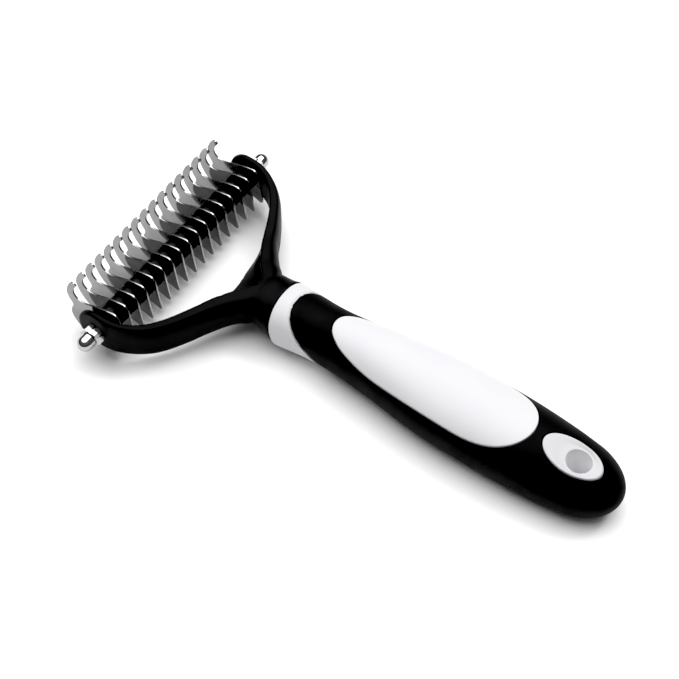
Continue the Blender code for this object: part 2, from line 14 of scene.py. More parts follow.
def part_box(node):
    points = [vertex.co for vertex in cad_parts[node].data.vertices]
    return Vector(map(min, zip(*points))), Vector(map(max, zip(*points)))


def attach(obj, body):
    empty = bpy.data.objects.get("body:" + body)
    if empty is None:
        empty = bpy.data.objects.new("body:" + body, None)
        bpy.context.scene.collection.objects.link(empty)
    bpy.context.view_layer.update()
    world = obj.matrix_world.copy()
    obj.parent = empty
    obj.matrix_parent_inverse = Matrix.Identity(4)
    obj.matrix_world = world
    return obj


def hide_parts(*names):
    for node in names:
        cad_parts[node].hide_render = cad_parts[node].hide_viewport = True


MM = 0.001
FIT_GAP = 0.3                  # clearance between two pieces that touch
CUT_EXTRA = 1.0                # how far a cutting tool reaches past what it cuts
CUT_RISE = 3.0                 # the same above the handle's curved top
CUT_LOW_Z = -3.0               # ends of the tools that cut upright holes
CUT_HIGH_Z = 25.0

# Blades
BLADE_COUNT = 17
BLADE_BEVEL = 0.07             # rounding of the blades' rims
BEVEL_STEPS = 2
BLADE_RESOLUTION = 7           # straight pieces between two outline points
HOLE_RESOLUTION = 10
FLAT_FACE = 0.9                # share of sideways normal that counts as the flat of a blade

# Blade outlines: (x from the axle, z from the axle, sharp corner)
BLADE_UPPER = [
    (-10.6, 11.9, True), (-11.5, 12.8, False), (-12.7, 12.5, False), (-14.5, 9.7, False),
    (-15.5, 6.1, False), (-15.1, 3.4, False), (-13.7, 0.2, False),
]
BLADE_LOWER_HOOK = [
    (-14.7, -2.6, False), (-15.0, -5.2, False), (-13.7, -8.4, False), (-10.4, -11.4, False),
    (-7.4, -12.4, True), (-8.4, -10.1, False), (-8.5, -7.2, False), (-6.4, -5.8, False),
]
BLADE_PLAIN_BACK = [(-11.8, -2.3, False), (-9.4, -4.5, False)]
BLADE_EDGE = [
    (-3.0, -5.4, False), (1.5, -5.7, False), (5.0, -6.5, False), (7.7, -7.3, False),
    (8.1, -6.9, False), (7.6, -2.4, False), (7.1, 1.8, False), (6.55, 5.9, False),
    (6.1, 7.1, False), (5.1, 7.85, False), (3.6, 7.9, False), (-2.8, 6.3, False),
    (-8.2, 4.5, False), (-10.4, 4.5, False), (-12.3, 6.2, False), (-12.4, 8.5, False),
]

# Turned pieces
ROUND_SEGMENTS = 64
BORE_RADIUS = 2.2
SPACER_RADIUS = 4.4
SPACER_CHAMFER = 0.35
WASHER_RADIUS = 3.0
WASHER_CHAMFER = 0.1

# Axle and its threaded ends
AXLE_RADIUS = 1.9
AXLE_CHAMFER = 0.4
THREAD_PITCH = 0.7
THREAD_DEPTH = 0.2
THREAD_LENGTH = 8.6
THREAD_RINGS = 8               # rings of points in one turn of the thread
THREAD_SEGMENTS = 32

# Cap nut
HEX_ACROSS_FLATS = 7.0
HEX_HEIGHT = 2.8
HEX_TURN = -6.0                # degrees that the hexagon is turned about the axle
HEX_CHAMFER = 0.15
CAP_RADIUS = 2.8
DOME_STEPS = 12
DOME_END_ANGLE = 88.0          # where the dome stops, in degrees, leaving a tiny flat tip
NECK_GROOVE = 0.25
NUT_BORE_DEPTH = 5.4
NUT_SEGMENTS = 96
NUT_SKIRT = 0.65               # rim of the hexagon that hides the washer
SKIRT_GAP = 0.12               # between the skirt and the washer inside it

# Yoke
ARM_OUTER_Y = 43.0             # outer face of each arm at the axle

# Yoke arm from its round end to the throat:
# (rim inside x, y, rim outside x, y, widest x, y, inner foot x, y, underside z, rim z)
ARM_SECTIONS = [
    (-7.5, 41.0, -7.5, 42.6, -7.5, 42.8, -7.5, 41.0, 11.0, 14.4),
    (-6.6, 41.0, -6.6, 42.7, -6.6, 43.0, -6.6, 41.0, 8.7, 16.7),
    (-4.8, 41.0, -4.8, 42.8, -4.8, 43.0, -4.8, 41.0, 6.7, 18.7),
    (-2.5, 41.0, -2.5, 42.8, -2.5, 43.0, -2.5, 41.0, 5.4, 20.0),
    (0.0, 41.0, 0.0, 42.8, 0.0, 43.0, 0.0, 41.0, 5.1, 20.3),
    (4.0, 40.8, 4.2, 42.6, 4.2, 43.0, 4.0, 40.8, 5.4, 19.9),
    (7.0, 40.0, 8.0, 41.6, 8.2, 42.1, 7.0, 40.0, 5.5, 19.4),
    (10.5, 38.2, 11.7, 39.6, 12.2, 40.3, 10.5, 38.2, 5.6, 18.9),
    (13.4, 35.7, 15.0, 37.1, 15.7, 37.9, 13.3, 35.6, 5.5, 18.5),
    (15.9, 32.7, 17.7, 34.1, 18.7, 34.9, 15.7, 32.3, 5.3, 18.2),
    (18.1, 29.5, 20.0, 30.7, 21.2, 31.5, 17.6, 28.8, 5.3, 18.1),
    (20.0, 26.1, 22.1, 27.2, 23.5, 28.0, 19.2, 25.4, 5.6, 18.1),
    (21.8, 22.5, 24.0, 23.7, 25.6, 24.5, 20.5, 21.8, 5.9, 18.2),
    (23.6, 18.7, 25.8, 19.9, 27.7, 20.8, 21.7, 17.8, 6.4, 18.2),
    (25.3, 15.2, 27.6, 16.3, 30.0, 17.6, 22.6, 14.0, 7.1, 18.5),
    (27.2, 11.9, 29.6, 13.0, 32.3, 14.9, 23.3, 10.6, 8.0, 18.8),
    (29.4, 8.5, 32.0, 9.8, 35.0, 11.9, 23.8, 7.2, 8.3, 19.1),
    (32.4, 5.0, 35.2, 6.4, 38.3, 8.8, 24.2, 3.8, 8.0, 19.6),
]
THROAT_SECTION = (36.0, 0.0, 40.0, 0.0, 44.0, 0.0, 24.3, 0.0, 7.6, 20.0)
Y_COLUMNS = (1, 3, 5, 7)       # columns that change sign on the other arm
SECTION_PARTS = 4              # rings between two sections of the table
OUTER_FALL = 5.0               # height of the rounding from the rim to the widest place
OUTER_FALL_STEPS = 10
EDGE_ROUND = 1.2               # rounding of the outer wall's lower edge
EDGE_SHARE = 0.4               # most of an arm's height that this rounding may take
EDGE_ROUND_STEPS = 6
SHELF_DROP = 3.0               # height of the upright top of the inner wall
WALL_STEPS = 5

GROOVE_OUTLINE = [(26.9, 12.4), (30.0, 7.9), (34.0, 3.2), (33.6, 1.1), (30.4, 4.6), (26.8, 9.2)]
GROOVE_PARTS = 3
GROOVE_FLOOR_Z = 10.0

# Yoke neck: (x, half width, underside z, top z, section exponent)
NECK_SECTIONS = [
    (36.4, 6.6, 8.2, 19.2, 2.8), (38.5, 9.0, 5.4, 20.0, 2.6), (41.0, 9.4, 4.0, 20.4, 2.5),
    (44.0, 10.0, 2.8, 20.4, 2.3), (46.8, 11.0, 1.8, 20.7, 2.2),
]
TANG_START_X = 45.0
TANG_END_X = 72.0
TANG_WIDTH = 8.4
TANG_HEIGHT = 7.6
TANG_Z = 11.6
SOCKET_LEAD = 5.0              # how far the cut for the tang starts in front of it

# Rounding of the moulded edges
YOKE_VOXEL = 0.3
YOKE_SWELL = 0.12              # growth that makes up for what smoothing takes off
GRIP_VOXEL = 0.4
MOULD_EASE = 0.5               # strength of one smoothing pass
MOULD_SMOOTHING = 8            # smoothing passes

# Handle: (x, half width, underside z, top z)
HANDLE_SECTIONS = [
    (47.1, 11.2, 1.5, 21.0), (64.2, 9.9, 2.7, 21.2), (84.2, 11.4, 2.0, 22.9),
    (106.2, 14.2, 0.6, 23.1), (129.2, 14.7, 0.0, 22.7), (149.2, 13.9, 0.0, 20.9),
    (164.2, 12.1, 1.0, 19.2), (173.8, 11.5, 1.6, 18.8),
]
UPPER_EXPONENT = 2.1           # squareness of the section, 2 for an ellipse
LOWER_EXPONENT = 2.6
HANDLE_SEGMENTS = 144
HANDLE_MID_Z = 11.1
END_ROUND_X = 159.2
HANDLE_END_X = 173.8
END_STATIONS = 24
END_ANGLES = (4.0, 88.0)       # first and last ring of the rounded end, in degrees
LEAN_PASSES = 6                # rounds of moving a leaning ring's points onto its plane
COLLAR_FRONT_X = 47.1
COLLAR_FRONT_LEAN = -0.19      # X gained for each step up in Z
COLLAR_EDGE = 0.5
GRIP_FRONT_X = 60.6
GRIP_FRONT_LEAN = -1.05
GRIP_STRAIGHT_X = 71.0
GRIP_WALL = 2.2
CORE_END_X = 98.0
STATION_STEP = 1.0

# Thumb pad, half of its oval: (x, half width)
PAD_OUTLINE = [
    (66.2, 0.0), (67.0, 3.0), (69.6, 5.5), (74.6, 7.8), (84.3, 10.0), (99.3, 11.7), (113.4, 12.5),
    (124.0, 12.5), (131.6, 11.2), (136.8, 8.5), (140.0, 4.6), (141.1, 0.0),
]
OUTLINE_PARTS = 8
PAD_DEPTH = 1.8
PAD_RINGS = 26
PAD_RAISE = 0.15               # height above the sleeve
PAD_EDGE = 0.3                 # rounding of the edge
EDGE_STEPS = 5

# Hanging eyelet
EYELET_CENTRE_X = 155.2
EYELET_HALF_LENGTH = 10.4
EYELET_HALF_WIDTH = 6.2
EYELET_DEPTH = 3.2
EYELET_DISH = 1.1              # depth of the dish round the hole
EYELET_LIP = 0.25              # depth of the outer lip
EYELET_TUBE_RADIUS = 5.4
EYELET_UNDERSIDE_RISE = 0.2    # rise of the underside from the tube to the lip
HANG_HOLE_X = 157.5
HANG_HOLE_RADIUS = 4.1
EYELET_SEGMENTS = 96
EYELET_STEPS = 12
DISH_START = 0.04              # shares of the way from the oval to the hole
DISH_END = 0.94
HOLE_EDGE_DROP = 0.5           # depth of the rounding at the hole
WALL_SLOPE = 0.3               # most vertical share of a normal that counts as the hole's wall, which is painted brighter to lift its shade

# Edges sharper than these stay sharp
PLASTIC_SMOOTH_ANGLE = math.radians(35)
METAL_SMOOTH_ANGLE = math.radians(28)
WHITE_SMOOTH_ANGLE = math.radians(50)
MOULD_SMOOTH_ANGLE = math.radians(60)

# Camera, in metres, with its lens and sensor in millimetres
CAMERA_PLACE = (0.17162, -0.26397, 0.45204)
CAMERA_AIM = (-0.01596, 0.00741, 0.0)
CAMERA_LENS = 87.70
CAMERA_SENSOR = 36.0
CAMERA_CLIP_START = 0.01

# Studio
FLOOR_REACH = 3.0                               # metres
WORLD_LEVELS = [(0.0, 0.03), (0.8, 0.22)]       # (height on the sky, brightness)
OVERHEAD = ((-0.20, 0.16, 1.0), 76.0, 3.85)     # toward the light, spread in degrees, strength
BACK_LIGHT = ((0.24, 0.485, 0.84), 14.0, 0.6)
BLACK_LEVEL = 0.012

# Materials
NOISE_DETAIL = 3.0
NOISE_SPAN = (0.3, 0.7)        # range of a noise that matters
CLOUDING = 0.975               # red and green of a white's cooler patches
WHITE_ROUGHNESS_SPAN = (-0.04, 0.06)

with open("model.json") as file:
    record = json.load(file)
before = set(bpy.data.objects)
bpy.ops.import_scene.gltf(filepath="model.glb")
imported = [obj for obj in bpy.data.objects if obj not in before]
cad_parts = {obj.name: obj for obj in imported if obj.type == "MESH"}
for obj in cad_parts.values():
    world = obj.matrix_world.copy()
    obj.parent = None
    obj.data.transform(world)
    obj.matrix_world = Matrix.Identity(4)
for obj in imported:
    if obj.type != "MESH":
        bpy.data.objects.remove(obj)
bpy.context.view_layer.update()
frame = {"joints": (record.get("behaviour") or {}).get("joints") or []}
AXLE = next(Vector(joint["pos_m"]) for joint in frame["joints"] if joint["name"] == "far_nut_turn")
AXLE_X = AXLE.x / MM
AXLE_Z = AXLE.z / MM


# ---------------------------------------------------------------- node helpers

class Look:
    """A procedural material under construction: one Principled shader and its node tree."""

    def __init__(self, name, metallic=0.0, specular=0.5):
        self.material = bpy.data.materials.new(name)
        self.material.use_nodes = True
        self.nodes = self.material.node_tree.nodes
        self.links = self.material.node_tree.links
        self.shader = self.nodes["Principled BSDF"]
        self.shader.inputs["Metallic"].default_value = metallic
        self.shader.inputs["Specular IOR Level"].default_value = specular
        self.coordinates = self.nodes.new("ShaderNodeTexCoord")

    def noise(self, scale, stretch=(1.0, 1.0, 1.0)):
        """Noise in the piece's own space; scale counts features in a metre."""
        mapping = self.nodes.new("ShaderNodeMapping")
        mapping.inputs["Scale"].default_value = stretch
        self.links.new(self.coordinates.outputs["Object"], mapping.inputs["Vector"])
        noise = self.nodes.new("ShaderNodeTexNoise")
        noise.inputs["Scale"].default_value = scale
        noise.inputs["Detail"].default_value = NOISE_DETAIL
        self.links.new(mapping.outputs["Vector"], noise.inputs["Vector"])
        return noise.outputs["Fac"]

    def cells(self, scale):
        """Distance to cell centres: the pebbles of a spark-eroded mould surface."""
        cells = self.nodes.new("ShaderNodeTexVoronoi")
        cells.inputs["Scale"].default_value = scale
        self.links.new(self.coordinates.outputs["Object"], cells.inputs["Vector"])
        return cells.outputs["Distance"]

    def colour(self, source, stops):
        """Base colour from a ramp of (position, colour) stops."""
        ramp = self.nodes.new("ShaderNodeValToRGB")
        elements = ramp.color_ramp.elements
        while len(elements) < len(stops):
            elements.new(0.5)
        for element, (position, shade) in zip(elements, stops):
            element.position = position
            element.color = (*shade, 1.0)
        self.links.new(source, ramp.inputs["Fac"])
        self.links.new(ramp.outputs["Color"], self.shader.inputs["Base Color"])

    def roughness(self, source, low, high):
        """Roughness that wanders between low and high."""
        spread = self.nodes.new("ShaderNodeMapRange")
        spread.inputs["From Min"].default_value = NOISE_SPAN[0]
        spread.inputs["From Max"].default_value = NOISE_SPAN[1]
        spread.inputs["To Min"].default_value = low
        spread.inputs["To Max"].default_value = high
        self.links.new(source, spread.inputs["Value"])
        self.links.new(spread.outputs["Result"], self.shader.inputs["Roughness"])

    def bump(self, layers):
        """Stacked bumps from (source, strength, depth in metres) layers."""
        normal = None
        for source, strength, depth in layers:
            bump = self.nodes.new("ShaderNodeBump")
            bump.inputs["Strength"].default_value = strength
            bump.inputs["Distance"].default_value = depth
            self.links.new(source, bump.inputs["Height"])
            if normal is not None:
                self.links.new(normal, bump.inputs["Normal"])
            normal = bump.outputs["Normal"]
        self.links.new(normal, self.shader.inputs["Normal"])


def rubber_look():
    """Soft-touch black sleeve: fine erosion grain and faint rubbed patches."""
    look = Look("soft_touch_rubber", specular=0.06)
    look.colour(look.noise(55.0), [(0.25, (0.0025, 0.0025, 0.0027)), (0.75, (0.0045, 0.0045, 0.0047))])
    look.roughness(look.noise(140.0), 0.50, 0.62)
    look.bump([(look.cells(2600.0), 0.22, 0.00006), (look.noise(5200.0), 0.15, 0.00003)])
    return look.material


def yoke_look():
    """Satin black moulding, a little glossier than the sleeve."""
    look = Look("satin_black_plastic", specular=0.05)
    look.colour(look.noise(48.0), [(0.25, (0.003, 0.003, 0.0032)), (0.75, (0.006, 0.006, 0.0062))])
    look.roughness(look.noise(120.0), 0.34, 0.46)
    look.bump([(look.cells(3200.0), 0.12, 0.00004), (look.noise(260.0), 0.08, 0.0001)])
    return look.material


def spacer_look():
    """Black spacer tube with faint turning rings along the axle."""
    look = Look("spacer_plastic", specular=0.12)
    look.colour(look.noise(160.0), [(0.3, (0.003, 0.003, 0.0033)), (0.7, (0.006, 0.006, 0.0065))])
    look.roughness(look.noise(300.0), 0.26, 0.38)
    look.bump([(look.noise(900.0, stretch=(0.05, 1.0, 0.05)), 0.15, 0.00004)])
    return look.material


def white_look(name, shade, roughness):
    """White moulded plastic with a trace of clouding and a fine eggshell surface."""
    look = Look(name, specular=0.25)
    cooler = (shade[0] * CLOUDING, shade[1] * CLOUDING, shade[2])
    look.colour(look.noise(60.0), [(0.3, cooler), (0.7, shade)])
    low, high = WHITE_ROUGHNESS_SPAN
    look.roughness(look.noise(180.0), roughness + low, roughness + high)
    look.bump([(look.cells(2400.0), 0.10, 0.00005), (look.noise(420.0), 0.05, 0.0001)])
    return look.material


def blade_look():
    """Polished stainless flats with fine grinding lines and a few cloudy stains."""
    look = Look("polished_blade_steel", metallic=1.0)
    look.colour(look.noise(150.0), [(0.25, (0.20, 0.20, 0.204)), (0.75, (0.27, 0.27, 0.274))])
    look.roughness(look.noise(700.0, stretch=(1.0, 1.0, 0.06)), 0.05, 0.11)
    look.bump([(look.noise(2600.0, stretch=(1.0, 1.0, 0.04)), 0.02, 0.00001)])
    return look.material


def rim_look():
    """Stamped and tumbled rim of a blade, brighter and softer than its flats."""
    look = Look("tumbled_blade_rim", metallic=1.0)
    look.colour(look.noise(900.0), [(0.3, (0.30, 0.30, 0.303)), (0.7, (0.38, 0.38, 0.384))])
    look.roughness(look.noise(1500.0), 0.18, 0.28)
    look.bump([(look.noise(4200.0, stretch=(1.0, 0.1, 1.0)), 0.12, 0.00002)])
    return look.material


def chrome_look():
    """Bright plated cap nut with hair-fine wear."""
    look = Look("plated_cap_nut", metallic=1.0)
    look.colour(look.noise(400.0), [(0.3, (0.40, 0.40, 0.404)), (0.7, (0.46, 0.46, 0.465))])
    look.roughness(look.noise(900.0), 0.05, 0.13)
    look.bump([(look.noise(3000.0), 0.04, 0.00002)])
    return look.material


def zinc_look():
    """Dull zinc-plated rod and washers."""
    look = Look("zinc_plated_steel", metallic=1.0)
    look.colour(look.noise(500.0), [(0.3, (0.42, 0.42, 0.43)), (0.7, (0.55, 0.55, 0.56))])
    look.roughness(look.noise(1100.0), 0.26, 0.42)
    look.bump([(look.noise(3500.0), 0.10, 0.00002)])
    return look.material


def floor_look():
    """Plain pale matt floor."""
    look = Look("pale_floor", specular=0.1)
    look.colour(look.noise(2.0), [(0.3, (0.92, 0.92, 0.92)), (0.7, (0.94, 0.94, 0.94))])
    look.roughness(look.noise(30.0), 0.75, 0.85)
    return look.material


# ---------------------------------------------------------------- mesh helpers

def place(point):
    """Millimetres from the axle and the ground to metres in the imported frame."""
    x, y, z = point
    return Vector(((x + AXLE_X) * MM, y * MM, z * MM))


def new_piece(name, mesh):
    """Add an object with this mesh to the scene."""
    piece = bpy.data.objects.new(name, mesh)
    bpy.context.scene.collection.objects.link(piece)
    return piece


def finish_piece(piece, materials, body, node, angle=PLASTIC_SMOOTH_ANGLE):
    """Shade, paint and hang a finished piece on its body in place of its CAD node."""
    piece.data.shade_smooth()
    piece.data.set_sharp_from_angle(angle=angle)
    piece.data.materials.clear()
    for material in materials:
        piece.data.materials.append(material)
    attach(piece, body)
    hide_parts(node)


def settle(piece):
    """Apply a piece's modifiers."""
    bpy.context.view_layer.update()
    graph = bpy.context.evaluated_depsgraph_get()
    mesh = bpy.data.meshes.new_from_object(piece.evaluated_get(graph), depsgraph=graph)
    piece.modifiers.clear()
    piece.data = mesh


def combine(piece, tool, operation):
    """Join or cut a piece with another, which is used up."""
    step = piece.modifiers.new(tool.name, "BOOLEAN")
    step.operation = operation
    step.solver = "EXACT"
    step.object = tool
    settle(piece)
    bpy.data.objects.remove(tool, do_unlink=True)


def soften(piece, voxel, swell=0.0):
    """Blend joins and round edges as a mould does, then move the surface out by swell."""
    step = piece.modifiers.new("remesh", "REMESH")
    step.mode = "VOXEL"
    step.voxel_size = voxel * MM
    step.adaptivity = 0.0
    step = piece.modifiers.new("ease", "SMOOTH")
    step.factor = MOULD_EASE
    step.iterations = MOULD_SMOOTHING
    step = piece.modifiers.new("swell", "DISPLACE")
    step.strength = swell * MM
    step.mid_level = 0.0
    settle(piece)


def loft(name, rings, closed=False):
    """Skin a row of equal-length point rings; closed joins the last ring to the first."""
    mesh = bpy.data.meshes.new(name)
    build = bmesh.new()
    rows = [[build.verts.new(place(point)) for point in ring] for ring in rings]
    pairs = list(zip(rows, rows[1:]))
    if closed:
        pairs.append((rows[-1], rows[0]))
    else:
        build.faces.new(rows[0])
        build.faces.new(rows[-1])
    for first, second in pairs:
        count = len(first)
        for index in range(count):
            after = (index + 1) % count
            build.faces.new((first[index], first[after], second[after], second[index]))
    bmesh.ops.recalc_face_normals(build, faces=build.faces)
    build.to_mesh(mesh)
    build.free()
    return new_piece(name, mesh)


def catmull_rom(before, left, right, after, t):
    """Point between left and right on the smooth curve through four rows of numbers."""
    weights = (
        (-t + 2 * t ** 2 - t ** 3) / 2, (2 - 5 * t ** 2 + 3 * t ** 3) / 2,
        (t + 4 * t ** 2 - 3 * t ** 3) / 2, (t ** 3 - t ** 2) / 2)
    columns = zip(before, left, right, after)
    return tuple(sum(weight * value for weight, value in zip(weights, column)) for column in columns)


def refine(rows, parts):
    """Open table of rows made denser by a smooth curve through them."""
    result = []
    last = len(rows) - 1
    for index in range(last):
        knots = [rows[min(max(index + shift, 0), last)] for shift in (-1, 0, 1, 2)]
        result += [catmull_rom(*knots, part / parts) for part in range(parts)]
    return result + [rows[-1]]


def refine_closed(rows, parts):
    """Closed outline made denser by a smooth curve through its points."""
    count = len(rows)
    result = []
    for index in range(count):
        knots = [rows[(index + shift) % count] for shift in (-1, 0, 1, 2)]
        result += [catmull_rom(*knots, part / parts) for part in range(parts)]
    return result


def arc(steps, start=0.0, end=90.0):
    """Evenly spaced angles in radians, both ends included."""
    return [math.radians(start + (end - start) * step / steps) for step in range(steps + 1)]


def full_turn(count, start=0.0):
    """Evenly spaced angles in radians round a whole turn."""
    return [2 * math.pi * index / count + start for index in range(count)]


def blend(start, end, share):
    """Point a share of the way from start to end."""
    return tuple(first + (second - first) * share for first, second in zip(start, end))


def signed_power(value, power):
    """Power of a number's size, with the number's sign."""
    return math.copysign(abs(value) ** power, value)


def axle_point(radius, angle, y):
    """Point at a distance and an angle about the axle."""
    return radius * math.cos(angle), y, AXLE_Z + radius * math.sin(angle)


def turned(name, profile, closed=False):
    """Piece turned about the axle from (radius, y) points; closed makes a ring of it."""
    angles = full_turn(ROUND_SEGMENTS)
    rings = [[axle_point(radius, angle, y) for angle in angles] for radius, y in profile]
    return loft(name, rings, closed)


def node_span(node):
    """Lowest and highest Y of a CAD node, in millimetres."""
    low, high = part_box(node)
    return low.y / MM, high.y / MM


# ---------------------------------------------------------------- head

def add_spline(curve, points, resolution):
    """Closed Bezier spline; sharp points get straight handles."""
    spline = curve.splines.new("BEZIER")
    spline.bezier_points.add(len(points) - 1)
    for knot, (x, z, sharp) in zip(spline.bezier_points, points):
        knot.co = (x * MM, z * MM, 0.0)
        style = "VECTOR" if sharp else "AUTO"
        knot.handle_left_type = style
        knot.handle_right_type = style
    spline.use_cyclic_u = True
    spline.resolution_u = resolution


def blade_mesh(name, back, thickness):
    """Blade blank with rounded rims, lying in the X-Y plane about its bore."""
    curve = bpy.data.curves.new(name, "CURVE")
    curve.dimensions = "2D"
    curve.fill_mode = "BOTH"
    curve.extrude = (thickness / 2 - BLADE_BEVEL) * MM
    curve.bevel_depth = BLADE_BEVEL * MM
    curve.bevel_resolution = BEVEL_STEPS
    curve.offset = -BLADE_BEVEL * MM
    add_spline(curve, BLADE_UPPER + back + BLADE_EDGE, BLADE_RESOLUTION)
    bore = [(BORE_RADIUS, 0.0), (0.0, BORE_RADIUS), (-BORE_RADIUS, 0.0), (0.0, -BORE_RADIUS)]
    add_spline(curve, [(x, z, False) for x, z in bore], HOLE_RESOLUTION)
    blank = bpy.data.objects.new(name, curve)
    bpy.context.scene.collection.objects.link(blank)
    bpy.context.view_layer.update()
    graph = bpy.context.evaluated_depsgraph_get()
    mesh = bpy.data.meshes.new_from_object(blank.evaluated_get(graph), depsgraph=graph)
    bpy.data.objects.remove(blank, do_unlink=True)
    mesh.transform(Matrix.Rotation(math.radians(90), 4, "X"))
    return mesh


def build_blades(flat_material, rim_material):
    """Blades with a hook above and below alternate with blades hooked only above."""
    for number in range(1, BLADE_COUNT + 1):
        node = f"blade_{number:02d}"
        low, high = node_span(node)
        back = BLADE_LOWER_HOOK if number % 2 else BLADE_PLAIN_BACK
        mesh = blade_mesh(f"{node}_mesh", back, high - low)
        mesh.transform(Matrix.Translation((AXLE.x, (low + high) / 2 * MM, AXLE.z)))
        piece = new_piece(f"hooked_{node}", mesh)
        finish_piece(piece, [flat_material, rim_material], "handle", node, METAL_SMOOTH_ANGLE)
        for face in mesh.polygons:
            face.material_index = 0 if abs(face.normal.y) > FLAT_FACE else 1


def spacer_profile(low, high, outer, chamfer):
    """Ring section with broken outer edges."""
    return [
        (BORE_RADIUS, low), (outer - chamfer, low), (outer, low + chamfer),
        (outer, high - chamfer), (outer - chamfer, high), (BORE_RADIUS, high),
    ]


def build_rings(material, washer_material):
    """Spacers, end spacers and washers, each where its CAD node is."""
    spacers = [f"spacer_{number:02d}" for number in range(1, BLADE_COUNT)]
    for node in spacers + ["end_spacer_far", "end_spacer_near"]:
        profile = spacer_profile(*node_span(node), SPACER_RADIUS, SPACER_CHAMFER)
        piece = turned(f"turned_{node}", profile, closed=True)
        finish_piece(piece, [material], "handle", node)
    for node in ("washer_far", "washer_near"):
        profile = spacer_profile(*node_span(node), WASHER_RADIUS, WASHER_CHAMFER)
        piece = turned(f"stamped_{node}", profile, closed=True)
        finish_piece(piece, [washer_material], node, node, METAL_SMOOTH_ANGLE)


def thread_radius(angle, y):
    """Height of a rolled thread at an angle and a distance along the axle."""
    phase = (y / THREAD_PITCH - angle / (2 * math.pi)) % 1.0
    return AXLE_RADIUS - THREAD_DEPTH * (1 - abs(2 * phase - 1))


def build_axle(material):
    """Plain rod with a rolled thread at both ends."""
    low, high = node_span("axle_rod")
    count = int(THREAD_LENGTH / THREAD_PITCH * THREAD_RINGS)
    steps = [THREAD_LENGTH * step / count for step in range(count + 1)]
    rings = []
    for y in [low + step for step in steps] + [high - step for step in reversed(steps)]:
        inset = min(y - low, high - y)
        cap = AXLE_RADIUS - max(AXLE_CHAMFER - inset, 0.0)
        ring = []
        for angle in full_turn(THREAD_SEGMENTS):
            radius = AXLE_RADIUS if inset >= THREAD_LENGTH else min(thread_radius(angle, y), cap)
            ring.append(axle_point(radius, angle, y))
        rings.append(ring)
    piece = loft("threaded_axle", rings)
    finish_piece(piece, [material], "handle", "axle_rod", METAL_SMOOTH_ANGLE)


def hex_radius(angle):
    """Distance from the axis to the hexagon's side."""
    sixth = math.radians(60)
    off = (angle - math.radians(HEX_TURN)) % sixth - sixth / 2
    return HEX_ACROSS_FLATS / 2 / math.cos(off)


def nut_outline(face, shoulder, tip):
    """(Radius, y, six-sided) points from the nut's face over its hexagon and barrel to the dome's tip."""
    corner = HEX_ACROSS_FLATS / math.sqrt(3)
    chamfer = (corner - HEX_ACROSS_FLATS / 2) + HEX_CHAMFER / 2
    outline = [
        (corner - chamfer, face, True), (corner, face + HEX_CHAMFER, True),
        (corner, shoulder - HEX_CHAMFER, True), (corner - chamfer, shoulder, True),
        (CAP_RADIUS - NECK_GROOVE, shoulder, False), (CAP_RADIUS, shoulder + NECK_GROOVE, False),
    ]
    dome_y = tip - CAP_RADIUS
    for angle in arc(DOME_STEPS, 0.0, DOME_END_ANGLE):
        outline.append((CAP_RADIUS * math.cos(angle), dome_y + CAP_RADIUS * math.sin(angle), False))
    return outline


def build_cap_nut(side, sign, material):
    """Chamfered hexagon with a skirt over the washer, domed barrel and blind bore."""
    node = f"cap_nut_{side}"
    seat, tip = sorted(abs(y) for y in node_span(node))
    face = seat - NUT_SKIRT
    rings = []
    for limit, y, six_sided in nut_outline(face, seat + HEX_HEIGHT, tip):
        ring = []
        for angle in full_turn(NUT_SEGMENTS, math.radians(HEX_TURN)):
            radius = min(limit, hex_radius(angle)) if six_sided else limit
            ring.append(axle_point(radius, angle, sign * y))
        rings.append(ring)
    piece = loft(f"domed_{node}", rings)
    for radius, end in ((BORE_RADIUS, seat + NUT_BORE_DEPTH), (WASHER_RADIUS + SKIRT_GAP, seat)):
        bore = turned("bore", [(radius, sign * (face - CUT_EXTRA)), (radius, sign * end)])
        combine(piece, bore, "DIFFERENCE")
    finish_piece(piece, [material], node, node, METAL_SMOOTH_ANGLE)


# ---------------------------------------------------------------- yoke

def arm_ring(section):
    """Cross-section of an arm: straight inner wall, level rim and swelling outer wall."""
    rim, out, wide, foot, (low, high) = (section[start:start + 2] for start in range(0, len(section), 2))
    fall = min(OUTER_FALL, (high - low) / 2)
    edge = min(EDGE_ROUND, EDGE_SHARE * (high - low))
    shelf = min(SHELF_DROP, (high - low) / 2)
    inner_foot = (*foot, low)
    inner_top = (*rim, high - shelf)
    ring = [blend(inner_foot, inner_top, step / WALL_STEPS) for step in range(WALL_STEPS + 1)]
    ring += [(*rim, high - shelf / 2), (*rim, high)]
    for angle in arc(OUTER_FALL_STEPS):
        ring.append((*blend(out, wide, math.sin(angle)), high - fall * (1 - math.cos(angle))))
    outer_top = (*wide, high - fall)
    outer_foot = (*wide, low + edge)
    ring += [blend(outer_top, outer_foot, step / WALL_STEPS) for step in range(1, WALL_STEPS)]
    reach = max(math.dist(wide, rim), edge)
    for angle in arc(EDGE_ROUND_STEPS):
        inward = edge * (1 - math.cos(angle)) / reach
        ring.append((*blend(wide, rim, inward), low + edge * (1 - math.sin(angle))))
    return ring


def arm_sections():
    """Both arms and the throat between them as one dense row of sections."""
    mirrored = [
        tuple(-value if column in Y_COLUMNS else value for column, value in enumerate(section))
        for section in reversed(ARM_SECTIONS)
    ]
    return refine(ARM_SECTIONS + [THROAT_SECTION] + mirrored, SECTION_PARTS)


